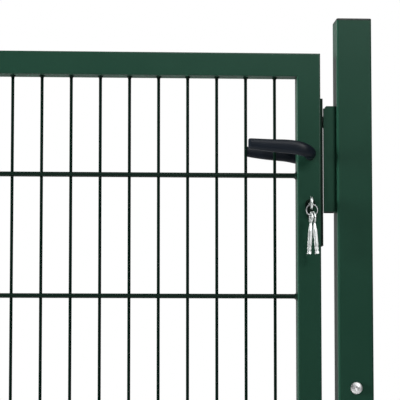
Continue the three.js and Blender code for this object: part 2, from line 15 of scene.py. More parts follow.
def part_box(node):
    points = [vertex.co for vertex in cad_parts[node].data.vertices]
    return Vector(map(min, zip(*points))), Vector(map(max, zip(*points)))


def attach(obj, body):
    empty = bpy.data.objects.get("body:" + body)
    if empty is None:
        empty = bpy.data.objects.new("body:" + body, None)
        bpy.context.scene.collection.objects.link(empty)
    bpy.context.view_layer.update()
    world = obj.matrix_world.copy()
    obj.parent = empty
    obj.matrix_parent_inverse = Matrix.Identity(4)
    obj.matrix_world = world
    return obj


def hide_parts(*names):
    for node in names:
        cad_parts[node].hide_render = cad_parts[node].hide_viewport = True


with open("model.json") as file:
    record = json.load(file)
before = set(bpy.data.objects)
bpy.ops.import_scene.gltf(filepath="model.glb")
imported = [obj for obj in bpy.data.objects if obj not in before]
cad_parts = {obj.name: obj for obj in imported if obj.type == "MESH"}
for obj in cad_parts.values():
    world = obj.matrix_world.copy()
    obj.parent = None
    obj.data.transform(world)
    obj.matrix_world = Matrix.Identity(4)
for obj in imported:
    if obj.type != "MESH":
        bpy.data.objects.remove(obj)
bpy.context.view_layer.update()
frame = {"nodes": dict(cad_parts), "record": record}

MM = 0.001
TURN = 2 * math.pi


# ------------------------------------------------------------------ camera and stage

def add_aimed(name, data, place, target):
    """A camera or light at place, aimed at target."""
    made = bpy.data.objects.new(name, data)
    made.location = place
    made.rotation_euler = (Vector(target) - Vector(place)).to_track_quat("-Z", "Y").to_euler()
    bpy.context.collection.objects.link(made)
    return made


def make_camera():
    """A long lens in front of the gate's middle, turned up to its latch-side upper corner."""
    data = bpy.data.cameras.new("camera")
    data.sensor_width = 36.0
    data.lens = 192.8
    data.clip_end = 100.0
    bpy.context.scene.camera = add_aimed("camera", data, (0.010, -3.650, 1.100), (0.2313, 0.0, 1.4372))


def area_light(name, place, target, size, power, mirrored=True):
    """A soft light that the camera can't see. One that isn't mirrored makes no highlights."""
    data = bpy.data.lights.new(name, "AREA")
    data.shape = "RECTANGLE"
    data.size, data.size_y = size
    data.energy = power
    light = add_aimed(name, data, place, target)
    light.visible_camera = False
    light.visible_glossy = mirrored


def upper_light(place, target, angle, power):
    """A soft-edged spotlight for the upper third of the gate."""
    data = bpy.data.lights.new("upper_light", "SPOT")
    data.energy = power
    data.spot_size = angle
    data.spot_blend = 0.8
    data.shadow_soft_size = 0.35
    add_aimed("upper_light", data, place, target)


def make_lights():
    area_light("key_light", (2.2, -3.0, 3.2), (0.45, 0.0, 1.35), (1.0, 1.0), 56)
    area_light("side_light", (-4.2, -0.75, 2.0), (0.4, 0.0, 1.4), (1.0, 1.8), 380, mirrored=False)
    area_light("back_light", (-2.5, 3.0, 3.0), (0.3, 0.0, 1.3), (2.0, 2.0), 36)
    area_light("top_light", (0.3, -1.4, 4.1), (0.3, 0.0, 1.3), (3.0, 2.0), 26)
    area_light("floor_light", (0.1, 1.6, 0.1), (0.1, 0.0, 1.65), (2.4, 0.6), 40, mirrored=False)
    upper_light((0.8, -2.8, 3.25), (0.15, 0.0, 2.65), math.radians(52), 165)


# Brightness from the camera's side (0) to behind the gate (1), and from below (0) to above (1).
WORLD_DEPTH = [(0.0, 0.05), (0.5, 0.08), (1.0, 0.32)]
WORLD_HEIGHT = [(0.0, 0.3), (0.42, 0.38), (0.5, 0.8), (1.0, 1.3)]


def make_world():
    """White to the camera. For light and reflections it is bright behind the gate and above,
    and dim on the camera's side."""
    world = bpy.data.worlds.new("studio")
    bpy.context.scene.world = world
    world.use_nodes = True
    graph = Graph(world.node_tree)
    coords = graph.node("ShaderNodeTexCoord")
    axes = graph.node("ShaderNodeSeparateXYZ", Vector=coords.outputs["Generated"])
    depth = graph.ramp(axes.outputs["Y"], WORLD_DEPTH)
    height = graph.ramp(axes.outputs["Z"], WORLD_HEIGHT)
    level = graph.math("MULTIPLY", depth, height)
    room = graph.node("ShaderNodeBackground", Strength=level)
    white = graph.node("ShaderNodeBackground", Strength=1.0)
    for background in (room, white):
        background.inputs["Color"].default_value = (1.0, 1.0, 1.0, 1.0)
    path = graph.node("ShaderNodeLightPath")
    mix = graph.node("ShaderNodeMixShader")
    graph.link(path.outputs["Is Camera Ray"], mix.inputs[0])
    graph.link(room.outputs[0], mix.inputs[1])
    graph.link(white.outputs[0], mix.inputs[2])
    output = graph.node("ShaderNodeOutputWorld")
    graph.link(mix.outputs[0], output.inputs["Surface"])


def make_floor():
    """A pale round floor, just below the feet of the posts."""
    radius, sides = 14.0, 96
    ring = [(x, y, 0.0) for x, y in circle(radius, sides)]
    mesh = bpy.data.meshes.new("floor")
    mesh.from_pydata(ring, [], [tuple(range(sides))])
    mesh.materials.append(floor_material())
    floor = bpy.data.objects.new("floor", mesh)
    floor.location.z = -0.5 * MM
    bpy.context.collection.objects.link(floor)


# ------------------------------------------------------------------ shader graphs

class Graph:
    """A short way to write a node tree."""

    def __init__(self, tree):
        self.tree = tree
        tree.nodes.clear()

    def link(self, source, target):
        self.tree.links.new(source, target)

    def node(self, kind, settings=None, **inputs):
        made = self.tree.nodes.new(kind)
        for name, value in (settings or {}).items():
            setattr(made, name, value)
        for name, value in inputs.items():
            socket = made.inputs[name.replace("_", " ")]
            if isinstance(value, bpy.types.NodeSocket):
                self.link(value, socket)
            else:
                socket.default_value = value
        return made

    def math(self, operation, first, second):
        made = self.node("ShaderNodeMath", {"operation": operation})
        for socket, value in zip(made.inputs, (first, second)):
            if isinstance(value, bpy.types.NodeSocket):
                self.link(value, socket)
            else:
                socket.default_value = value
        return made.outputs[0]

    def ramp(self, value, stops, low=-1.0, high=1.0):
        """A grey ramp over value, which runs from low to high."""
        ranged = self.node("ShaderNodeMapRange", Value=value, From_Min=low, From_Max=high)
        made = self.node("ShaderNodeValToRGB", Fac=ranged.outputs[0])
        elements = made.color_ramp.elements
        while len(elements) < len(stops):
            elements.new(0.5)
        for element, (position, level) in zip(elements, stops):
            element.position = position
            element.color = (level, level, level, 1.0)
        return made.outputs["Color"]

    def noise(self, coords, scale, detail=2.0, roughness=0.5):
        made = self.node(
            "ShaderNodeTexNoise", Vector=coords, Scale=scale, Detail=detail, Roughness=roughness
        )
        return made.outputs["Fac"]

    def stretched(self, coords, scale):
        made = self.node("ShaderNodeMapping", Vector=coords)
        made.inputs["Scale"].default_value = scale
        return made.outputs["Vector"]

    def mix_colour(self, factor, first, second):
        made = self.node("ShaderNodeMix", {"data_type": "RGBA"})
        self.link(factor, made.inputs["Factor"])
        made.inputs[6].default_value = (*first, 1.0)
        made.inputs[7].default_value = (*second, 1.0)
        return made.outputs[2]

    def between(self, value, low, high):
        """value, from 0 to 1, moved to the range from low to high."""
        return self.node("ShaderNodeMapRange", Value=value, To_Min=low, To_Max=high).outputs[0]


def material(name):
    """A new material, its graph, its shader and the coordinates that stay with the object."""
    made = bpy.data.materials.new(name)
    made.use_nodes = True
    graph = Graph(made.node_tree)
    shader = graph.node("ShaderNodeBsdfPrincipled")
    output = graph.node("ShaderNodeOutputMaterial")
    graph.link(shader.outputs[0], output.inputs["Surface"])
    coords = graph.node("ShaderNodeTexCoord").outputs["Object"]
    return made, graph, shader, coords


def bumped(graph, shader, height, strength, distance):
    bump = graph.node("ShaderNodeBump", Height=height, Strength=strength, Distance=distance)
    graph.link(bump.outputs[0], shader.inputs["Normal"])


def floor_material():
    made, graph, shader, coords = material("pale_floor")
    tone = graph.mix_colour(graph.noise(coords, 3.0), (0.80, 0.80, 0.79), (0.84, 0.84, 0.84))
    graph.link(tone, shader.inputs["Base Color"])
    shader.inputs["Roughness"].default_value = 0.7
    return made


def powder_coat_material(name="powder_coat", depth=1.0, gloss=0.18, peel_depth=0.16):
    """Moss-green polyester powder: a fine orange peel and slow changes of tone.

    A smaller depth darkens the colour, which paints shade into the coat, and gloss is the strength of
    its reflections."""
    made, graph, shader, coords = material(name)
    slow = graph.noise(coords, 9.0, 4.0)
    grain = graph.noise(coords, 420.0, 2.0)
    patch = graph.math("ADD", graph.math("MULTIPLY", slow, 0.7), graph.math("MULTIPLY", grain, 0.3))
    low, high = (0.0095, 0.0400, 0.0248), (0.0120, 0.0490, 0.0304)
    # depth below 1 scales the colour down: painted shade, not a different coat.
    colour = graph.mix_colour(patch, [c * depth for c in low], [c * depth for c in high])
    graph.link(colour, shader.inputs["Base Color"])
    graph.link(graph.between(slow, 0.28, 0.36), shader.inputs["Roughness"])
    peel = graph.math("ADD", graph.noise(coords, 900.0, 3.0), graph.noise(coords, 260.0, 1.0))
    bumped(graph, shader, peel, peel_depth, 0.0002)
    shader.inputs["Specular IOR Level"].default_value = gloss
    return made


def nylon_material():
    """Black glass-filled nylon with a fine spark-eroded grain."""
    made, graph, shader, coords = material("lever_nylon")
    slow = graph.noise(coords, 40.0, 3.0)
    colour = graph.mix_colour(slow, (0.0042, 0.0068, 0.0112), (0.0070, 0.0108, 0.0172))
    graph.link(colour, shader.inputs["Base Color"])
    graph.link(graph.between(slow, 0.34, 0.44), shader.inputs["Roughness"])
    bumped(graph, shader, graph.noise(coords, 2400.0, 2.0), 0.12, 0.0001)
    shader.inputs["Specular IOR Level"].default_value = 0.2
    return made


def black_plastic_material():
    made, graph, shader, coords = material("black_plastic")
    slow = graph.noise(coords, 60.0, 3.0)
    colour = graph.mix_colour(slow, (0.0060, 0.0085, 0.0075), (0.0110, 0.0140, 0.0125))
    graph.link(colour, shader.inputs["Base Color"])
    graph.link(graph.between(slow, 0.45, 0.6), shader.inputs["Roughness"])
    bumped(graph, shader, graph.noise(coords, 1800.0, 2.0), 0.2, 0.0001)
    return made


def metal_material(name, dark, light, roughness, scale=90.0, stretch=(1.0, 1.0, 1.0), bump=0.05):
    """Plated or plain metal: mottled tone, uneven gloss and fine marks along stretch."""
    made, graph, shader, coords = material(name)
    marks = graph.noise(graph.stretched(coords, stretch), scale * 12, 3.0)
    cloud = graph.noise(coords, scale, 4.0, 0.6)
    colour = graph.mix_colour(cloud, dark, light)
    graph.link(colour, shader.inputs["Base Color"])
    shader.inputs["Metallic"].default_value = 1.0
    both = graph.math("ADD", graph.math("MULTIPLY", cloud, 0.5), graph.math("MULTIPLY", marks, 0.5))
    graph.link(graph.between(both, *roughness), shader.inputs["Roughness"])
    bumped(graph, shader, marks, bump, 0.00005)
    return made


MATERIALS = {
    "powder_coat": powder_coat_material(),
    # The same coat made near-black: painted shade for the thin upright wires, which show dark against
    # the bright background.
    "powder_coat_painted_shade_uprights": powder_coat_material("powder_coat_painted_shade_uprights", 0.20, 0.04, 0.04),
    # The same coat made darker: painted shade for the shaded lower sides of the cross wires.
    "powder_coat_painted_shade_cross": powder_coat_material("powder_coat_painted_shade_cross", 0.28, 0.10, 0.04),
    "lever_nylon": nylon_material(),
    "black_plastic": black_plastic_material(),
    "nickel_plate": metal_material(
        "nickel_plate", (0.84, 0.88, 0.87), (0.95, 0.98, 0.97), (0.34, 0.52),
        stretch=(1.0, 1.0, 0.08), bump=0.12,
    ),
    "stainless_steel": metal_material(
        "stainless_steel", (0.80, 0.80, 0.80), (0.90, 0.90, 0.90), (0.42, 0.54)
    ),
    # Near-black steel tinged green. On the lock's forend this darkness and tint are partly painted
    # shade, standing for the shade the plate sits in beside the keep; the cylinder plugs are truly
    # dark.
    "dark_steel": metal_material(
        "dark_steel", (0.007, 0.013, 0.010), (0.016, 0.027, 0.021), (0.40, 0.58), bump=0.15
    ),
    "spring_steel": metal_material(
        "spring_steel", (0.25, 0.26, 0.27), (0.40, 0.41, 0.42), (0.25, 0.40)
    ),
    "zinc_plate": metal_material(
        "zinc_plate", (0.42, 0.44, 0.46), (0.66, 0.67, 0.67), (0.28, 0.50), bump=0.1
    ),
}


# ------------------------------------------------------------------ meshes

def circle(radius, sides, start=0.0):
    """Points of a circle in its own plane, as (u, v)."""
    return [
        (radius * math.cos(start + TURN * i / sides), radius * math.sin(start + TURN * i / sides))
        for i in range(sides)
    ]


def hexagon_radius(angle, across_flats):
    """The distance from a hexagon's middle to its edge, at angle."""
    sixth = TURN / 6
    return across_flats / 2 / math.cos((angle % sixth) - sixth / 2)


def hexagon(across_flats, sides):
    """Points of a hexagon, as (u, v). There are sides of them, at equal angles."""
    points = []
    for i in range(sides):
        angle = TURN * i / sides
        radius = hexagon_radius(angle, across_flats)
        points.append((radius * math.cos(angle), radius * math.sin(angle)))
    return points


def rounded_square(side, corner, segments):
    """Points of a square with rounded corners, anticlockwise."""
    inner = side / 2 - corner
    centres = [(inner, inner), (-inner, inner), (-inner, -inner), (inner, -inner)]
    points = []
    for quarter, (u, v) in enumerate(centres):
        for i in range(segments + 1):
            angle = TURN / 4 * (quarter + i / segments)
            points.append((u + corner * math.cos(angle), v + corner * math.sin(angle)))
    return points


# Where a point (u, v) of an outline, at distance w along an axis, stands in the scene.
AXES = {
    "x": lambda u, v, w: (w, u, v),
    "y": lambda u, v, w: (v, w, u),
    "z": lambda u, v, w: (u, v, w),
}


class Shell:
    """Vertices and faces of one piece, gathered from lofts."""

    def __init__(self):
        self.points = []
        self.faces = []

    def loft(self, rings, caps=True, closed=False):
        """Joins rings of equal length. caps closes both ends, closed joins last to first."""
        start = len(self.points)
        sides = len(rings[0])
        for ring in rings:
            self.points.extend(Vector(point) for point in ring)
        turns = len(rings) if closed else len(rings) - 1
        for r in range(turns):
            low = start + r * sides
            high = start + ((r + 1) % len(rings)) * sides
            for i in range(sides):
                j = (i + 1) % sides
                self.faces.append((low + i, low + j, high + j, high + i))
        if caps and not closed:
            self.faces.append(tuple(start + i for i in reversed(range(sides))))
            last = start + (len(rings) - 1) * sides
            self.faces.append(tuple(last + i for i in range(sides)))
        return self

    def stack(self, axis, centre, layers, caps=True, closed=False):
        """A loft along an axis: each layer is (distance, outline)."""
        centre = Vector(centre)
        rings = [
            [centre + Vector(AXES[axis](u, v, distance)) for u, v in outline]
            for distance, outline in layers
        ]
        return self.loft(rings, caps, closed)

    def piece(self, name, slot, body, replaces=(), angle=32.0, look=None):
        """Makes the object: outward faces, smooth below angle, its material (look's, or else slot's)
        and its body.
        """
        mesh = bpy.data.meshes.new(name)
        mesh.from_pydata([tuple(p) for p in self.points], [], self.faces)
        mesh.validate()
        outward(mesh)
        mesh.materials.append(MATERIALS[look or slot])
        made = bpy.data.objects.new(name, mesh)
        bpy.context.collection.objects.link(made)
        smooth(made, angle)
        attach(made, body)
        if replaces:
            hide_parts(*replaces)


def outward(mesh):
    """Turns every face outwards."""
    work = bmesh.new()
    work.from_mesh(mesh)
    bmesh.ops.recalc_face_normals(work, faces=work.faces)
    work.to_mesh(mesh)
    work.free()


def smooth(obj, angle):
    """Smooth shading, but sharp where faces meet at more than angle."""
    obj.data.polygons.foreach_set("use_smooth", [True] * len(obj.data.polygons))
    obj.data.set_sharp_from_angle(angle=math.radians(angle))
    weighted = obj.modifiers.new("weighted", "WEIGHTED_NORMAL")
    weighted.keep_sharp = True


def corners(node):
    """The low and high corners of a node's box."""
    low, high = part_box(node)
    return Vector(low), Vector(high)


def middle(node):
    """The middle of a node's box."""
    low, high = corners(node)
    return (low + high) / 2


# ------------------------------------------------------------------ posts and caps

POST_CORNER = 3.5 * MM
FRAME_CORNER = 2.5 * MM
TUBE_WALL = 2.0 * MM
ARC = 8  # segments in a rounded corner


def make_post(side):
    """A square tube, open below, whose inside shows from underneath."""
    low, high = corners(f"{side}_post")
    centre = (low + high) / 2
    width = high.x - low.x
    outer = rounded_square(width, POST_CORNER, ARC)
    inner = rounded_square(width - 2 * TUBE_WALL, POST_CORNER - TUBE_WALL, ARC)
    place = (centre.x, centre.y, 0.0)
    layers = [(low.z, outer), (high.z, outer), (high.z, inner), (low.z, inner)]
    shell = Shell().stack("z", place, layers, closed=True)
    shell.piece(f"{side}_post_tube", "powder_coat", "posts", [f"{side}_post"])


def make_cap(side):
    """A moulded cap: a lid with a rounded rim over a square plug."""
    node = f"{side}_post_cap"
    low, high = corners(node)
    centre = (low + high) / 2
    place = (centre.x, centre.y, 0.0)
    width = high.x - low.x
    lid, rim, rim_steps = 3.0 * MM, 1.2 * MM, 4
    dish, dish_slope, dish_depth = 5.0 * MM, 0.5 * MM, 0.3 * MM
    layers = [(high.z - lid, rounded_square(width, POST_CORNER, ARC))]
    for i in range(rim_steps + 1):
        angle = TURN / 4 * i / rim_steps
        inset = rim * (1 - math.cos(angle))
        outline = rounded_square(width - 2 * inset, POST_CORNER, ARC)
        layers.append((high.z - rim + rim * math.sin(angle), outline))
    layers.append((high.z, rounded_square(width - 2 * dish, POST_CORNER, ARC)))
    dished = rounded_square(width - 2 * (dish + dish_slope), POST_CORNER, ARC)
    layers.append((high.z - dish_depth, dished))
    shell = Shell().stack("z", place, layers)

    gap, plug_wall, plug_corner = 2.3 * MM, 3.0 * MM, 1.0 * MM
    plug = rounded_square(width - 2 * gap, plug_corner, ARC)
    bore = rounded_square(width - 2 * (gap + plug_wall), plug_corner, ARC)
    under = high.z - lid
    layers = [(low.z, plug), (under, plug), (under, bore), (low.z, bore)]
    shell.stack("z", place, layers, closed=True)
    shell.piece(f"{side}_cap", "black_plastic", "posts", [node])


# ------------------------------------------------------------------ leaf frame and mesh

def make_leaf_frame():
    """Four tubes mitred, welded and ground flush: one loop of rounded-square section."""
    left, top = corners("hinge_stile")[0].x, corners("top_rail")[1].z
    right, bottom = corners("latch_stile")[1].x, corners("bottom_rail")[0].z
    half = (corners("top_rail")[1].y - corners("top_rail")[0].y) / 2
    section = rounded_square(2 * half, FRAME_CORNER, ARC)
    mitres = ((left, -1, bottom, -1), (right, 1, bottom, -1), (right, 1, top, 1), (left, -1, top, 1))
    rings = []
    for x, sx, z, sz in mitres:
        rings.append([(x + sx * (u - half), v, z + sz * (u - half)) for u, v in section])
    shell = Shell().loft(rings, closed=True)
    tubes = ["top_rail", "bottom_rail", "hinge_stile", "latch_stile"]
    shell.piece("leaf_frame", "powder_coat", "leaf", tubes)


# A weld fillet: distance from the frame in millimetres, and how many times the wire's radius.
FILLET = [(0.0, 1.9), (0.7, 1.75), (1.6, 1.4), (3.0, 1.12), (5.0, 1.0)]

UPRIGHT_RADIUS, CROSS_RADIUS = 2.65 * MM, 3.9 * MM
FIRST_UPRIGHT_X, UPRIGHT_PITCH, UPRIGHT_COUNT = -340 * MM, 50 * MM, 15
ROW_PITCH, ROW_COUNT = 207.5 * MM, 5


def wire(shell, axis, centre, low, high, radius, sides=14):
    """A round wire whose ends spread into weld fillets at the frame."""
    layers = [(low + d * MM, circle(radius * k, sides)) for d, k in FILLET]
    layers += [(high - d * MM, circle(radius * k, sides)) for d, k in reversed(FILLET)]
    shell.stack(axis, centre, layers)


def nugget(shell, centre, radius=3.1 * MM, half_depth=1.3 * MM, sides=10, rows=5):
    """The metal squeezed out where two wires are welded: a flat ball between them."""
    layers = []
    for i in range(rows):
        angle = math.pi * (i + 0.5) / rows - math.pi / 2
        layers.append((half_depth * math.sin(angle), circle(radius * math.cos(angle), sides)))
    shell.stack("y", centre, layers)


def make_mesh_panel():
    """Upright wires between pairs of cross wires, welded where they meet."""
    low, high = corners("mesh_panel")
    centre_z = (corners("bottom_rail")[0].z + corners("top_rail")[1].z) / 2
    uprights = [FIRST_UPRIGHT_X + i * UPRIGHT_PITCH for i in range(UPRIGHT_COUNT)]
    rows = [centre_z + (i - ROW_COUNT // 2) * ROW_PITCH for i in range(ROW_COUNT)]
    cross_y = high.y - CROSS_RADIUS

    shell = Shell()
    for z in rows:
        for y in (-cross_y, cross_y):
            wire(shell, "x", (0.0, y, z), low.x, high.x, CROSS_RADIUS)
    # The cross wires wear the darkened coat: painted shade.
    shell.piece(
        "cross_wires", "powder_coat", "leaf", ["mesh_panel"], angle=50.0, look="powder_coat_painted_shade_cross"
    )

    shell = Shell()
    for x in uprights:
        wire(shell, "z", (x, 0.0, 0.0), low.z, high.z, UPRIGHT_RADIUS)
    weld_y = UPRIGHT_RADIUS + 0.1 * MM
    for x in uprights:
        for z in rows:
            for y in (-weld_y, weld_y):
                nugget(shell, (x, y, z))
    # The uprights and their weld nuggets wear the darkened coat: painted shade.
    shell.piece(
        "upright_wires", "powder_coat", "leaf", ["mesh_panel"], angle=50.0, look="powder_coat_painted_shade_uprights"
    )


# ------------------------------------------------------------------ turned and threaded pieces

def thread_layers(start, end, radius, pitch, sides, depth=0.55 * MM):
    """Rings of a helical thread from start to end. It runs out over three rings at each end."""
    rings_per_turn = 6
    steps = max(2, int(abs(end - start) / pitch * rings_per_turn))
    layers = []
    for i in range(steps + 1):
        at = start + (end - start) * i / steps
        fade = min(1.0, min(i, steps - i) / 3)
        runout = depth * (1 - fade) * 0.6
        ring = []
        for k in range(sides):
            angle = TURN * k / sides
            wave = abs(2 * ((at / pitch - k / sides) % 1.0) - 1)
            r = radius - depth * fade * wave - runout
            ring.append((r * math.cos(angle), r * math.sin(angle)))
        layers.append((at, ring))
    return layers


def hexagon_layers(start, end, across_flats, sides, bore=None):
    """Rings of a hexagonal head or nut, its corners chamfered at both ends."""
    flat = across_flats / 2 * 0.98
    slope = math.tan(math.radians(30))
    sign = 1 if end > start else -1

    def plain(radius, at):
        return [(u, v, at) for u, v in circle(radius, sides)]

    def chamfered(at, inward):
        ring = []
        for k in range(sides):
            angle = TURN * k / sides
            r = hexagon_radius(angle, across_flats)
            drop = (r - flat) * slope
            ring.append((r * math.cos(angle), r * math.sin(angle), at + inward * drop))
        return ring

    rings = [plain(flat, start), chamfered(start, sign), chamfered(end, -sign), plain(flat, end)]
    if bore is not None:
        edge = 0.1 * bore
        rings += [plain(bore + edge, end), plain(bore, end - sign * edge)]
        rings += [plain(bore, start + sign * edge), plain(bore + edge, start)]
    return rings


def add_hexagon(shell, axis, centre, start, end, across_flats, bore=None, sides=36):
    """A hexagonal head, or a nut where bore is its hole's radius."""
    centre = Vector(centre)
    rings = [
        [centre + Vector(AXES[axis](u, v, w)) for u, v, w in ring]
        for ring in hexagon_layers(start, end, across_flats, sides, bore)
    ]
    shell.loft(rings, closed=bore is not None)


def make_dome_bolt(node):
    """A polished dome head with a hexagonal recess, its shank and threaded tail."""
    low, high = corners(node)
    centre = (low + high) / 2
    sides = 48
    face = corners("latch_post")[0].y - 0.3 * MM
    top = low.y
    head = (high.x - low.x) / 2

    key, depth = 6.0 * MM, 3.2 * MM
    layers = [
        (top + depth, circle(0.4 * MM, sides)),
        (top + depth - 0.6 * MM, hexagon(key, sides)),
        (top + 0.25 * MM, hexagon(key, sides)),
        (top + 0.02 * MM, hexagon(key + 0.7 * MM, sides)),
    ]

    rim, dome_rows = 0.9 * MM, 10
    dome_start = math.asin((key / 2 / math.cos(TURN / 12) + 0.45 * MM) / head)
    for i in range(dome_rows + 1):
        angle = dome_start + (TURN / 4 - dome_start) * i / dome_rows
        rise = (face - rim - top) * (1 - math.cos(angle))
        layers.append((top + rise, circle(head * math.sin(angle), sides)))
    edge = 0.2 * MM
    layers += [(face - edge, circle(head, sides)), (face, circle(head - edge, sides))]

    shank, thread_start = 5.0 * MM, high.y - 18 * MM
    layers += [(face, circle(shank, sides)), (thread_start, circle(shank, sides))]
    layers += thread_layers(thread_start, high.y - 0.6 * MM, shank, 1.5 * MM, sides)
    layers.append((high.y, circle(shank - 1.0 * MM, sides)))
    shell = Shell().stack("y", (centre.x, 0.0, centre.z), layers)
    shell.piece(f"{node}_turned", "stainless_steel", "posts", [node], angle=40.0)


def make_flange_nut(node):
    """A hexagon nut with a cone-shaped flange against the post."""
    low, high = corners(node)
    place = ((low.x + high.x) / 2, 0.0, (low.z + high.z) / 2)
    sides = 36
    flange, bore, edge = (high.x - low.x) / 2, 5.2 * MM, 0.3 * MM
    cone_start, cone_end = low.y + 1.0 * MM, low.y + 2.2 * MM
    layers = [
        (low.y, circle(flange - edge, sides)), (low.y + edge, circle(flange, sides)),
        (cone_start, circle(flange, sides)), (cone_end, circle(flange * 0.78, sides)),
        (cone_end, circle(bore, sides)), (low.y, circle(bore, sides)),
    ]
    shell = Shell().stack("y", place, layers, closed=True)
    add_hexagon(shell, "y", place, low.y + 1.8 * MM, high.y, 16 * MM, bore)
    shell.piece(f"{node}_turned", "zinc_plate", "posts", [node])


# ------------------------------------------------------------------ hinges

ROD_RADIUS = 6.0 * MM
ROD_PITCH = 1.75 * MM
ROD_HEXAGON = 18 * MM


def rod_thread(start, end, sides):
    """The thread of a 12 mm rod, with a chamfered tip. It may run either way."""
    tip = 0.8 * MM if end > start else -0.8 * MM
    layers = thread_layers(start, end - tip, ROD_RADIUS, ROD_PITCH, sides)
    layers.append((end, circle(ROD_RADIUS - 1.2 * MM, sides)))
    return layers


def make_hinge_pin(node, sides=36):
    """A hexagon head over a plain rod with a threaded foot."""
    low, high = corners(node)
    place = (middle(node).x, 0.0, 0.0)
    under_head, thread_start = high.z - 7.5 * MM, low.z + 16 * MM
    shell = Shell()
    add_hexagon(shell, "z", place, under_head, high.z, ROD_HEXAGON)
    layers = [(at, circle(ROD_RADIUS, sides)) for at in (under_head + 0.5 * MM, thread_start)]
    shell.stack("z", place, layers + rod_thread(thread_start, low.z, sides))
    shell.piece(f"{node}_turned", "zinc_plate", "posts", [node])


def make_eye_bolt(node, axis_x, sides=36):
    """A flat forged eye round the hinge pin, and a threaded rod from it into the leaf."""
    low, high = corners(node)
    eye, bore = (high.y - low.y) / 2, 6.5 * MM
    edge, bore_edge = 1.0 * MM, 0.5 * MM
    layers = [
        (low.z, circle(eye - edge, sides)), (low.z + edge, circle(eye, sides)),
        (high.z - edge, circle(eye, sides)), (high.z, circle(eye - edge, sides)),
        (high.z, circle(bore + bore_edge, sides)), (high.z - bore_edge, circle(bore, sides)),
        (low.z + bore_edge, circle(bore, sides)), (low.z, circle(bore + bore_edge, sides)),
    ]
    shell = Shell().stack("z", (axis_x, 0.0, 0.0), layers, closed=True)
    start = axis_x + eye - 2 * MM
    layers = [(start, circle(ROD_RADIUS * 1.25, sides)), (start + 3 * MM, circle(ROD_RADIUS, sides))]
    layers += rod_thread(start + 4 * MM, high.x, sides)
    shell.stack("x", (0.0, 0.0, (low.z + high.z) / 2), layers)
    shell.piece(f"{node}_forged", "zinc_plate", "leaf", [node])


def make_hinge(level):
    """The pin with its nut on the post, and the eye bolt with its nuts on the leaf."""
    make_hinge_pin(f"hinge_pin_{level}")
    make_nut(f"hinge_pin_nut_{level}", "z", "posts")
    for side in ("outer", "inner"):
        make_nut(f"{side}_nut_{level}", "x", "leaf")
    for side in ("outer", "inner"):
        make_washer(f"{side}_washer_{level}")
    make_eye_bolt(f"eye_bolt_{level}", middle(f"hinge_pin_{level}").x)


def make_nut(node, axis, body):
    """A plain nut of the hinges' rod."""
    low, high = corners(node)
    centre = (low + high) / 2
    index = "xyz".index(axis)
    centre[index] = 0.0
    shell = Shell()
    add_hexagon(shell, axis, centre, low[index], high[index], ROD_HEXAGON, ROD_RADIUS + 0.2 * MM)
    shell.piece(f"{node}_turned", "zinc_plate", body, [node])


def make_washer(node):
    """A plain washer of the hinges' rod."""
    low, high = corners(node)
    centre = (low + high) / 2
    radius, bore, edge, sides = (high.y - low.y) / 2, ROD_RADIUS + 0.4 * MM, 0.25 * MM, 40
    layers = [
        (low.x, circle(radius - edge, sides)), (low.x + edge, circle(radius, sides)),
        (high.x - edge, circle(radius, sides)), (high.x, circle(radius - edge, sides)),
        (high.x, circle(bore, sides)), (low.x, circle(bore, sides)),
    ]
    shell = Shell().stack("x", (0.0, centre.y, centre.z), layers, closed=True)
    shell.piece(f"{node}_turned", "zinc_plate", "leaf", [node])


def weld_bead(shell, start, end, radius=1.6 * MM, sides=8):
    """A rippled bead of weld in a straight line, thinner at its ends."""
    start, end = Vector(start), Vector(end)
    along = end - start
    ring_spacing = 0.9 * MM
    count = max(3, int(along.length / ring_spacing))
    tangent = along.normalized()
    side = tangent.orthogonal().normalized()
    up = tangent.cross(side)
    rings = []
    for i in range(count + 1):
        ripple = 1.0 + 0.10 * math.sin(i * 2.1)
        ends = min(1.0, 0.35 + min(i, count - i) * 0.4)
        place = start + along * (i / count)
        rings.append([place + side * u + up * v for u, v in circle(radius * ripple * ends, sides)])
    shell.loft(rings)


def make_welds():
    """Beads where the hinge brackets and the strike keep meet their posts."""
    shell = Shell()
    proud, end_gap = 0.4 * MM, 1.0 * MM
    face = corners("hinge_post")[1].x + proud
    for level in ("upper", "lower"):
        low, high = corners(f"hinge_bracket_{level}")
        for y in (low.y, high.y):
            weld_bead(shell, (face, y, low.z + end_gap), (face, y, high.z - end_gap))
    low, high = corners("strike_keep")
    face = corners("latch_post")[0].x - proud
    length, from_end, inset = 30 * MM, 8 * MM, 4 * MM
    for y in (low.y + inset, high.y - inset):
        for z in (low.z + from_end, high.z - from_end - length):
            weld_bead(shell, (face, y, z), (face, y, z + length), 1.3 * MM)
    shell.piece("post_welds", "powder_coat", "posts", angle=60.0)


# ------------------------------------------------------------------ levers

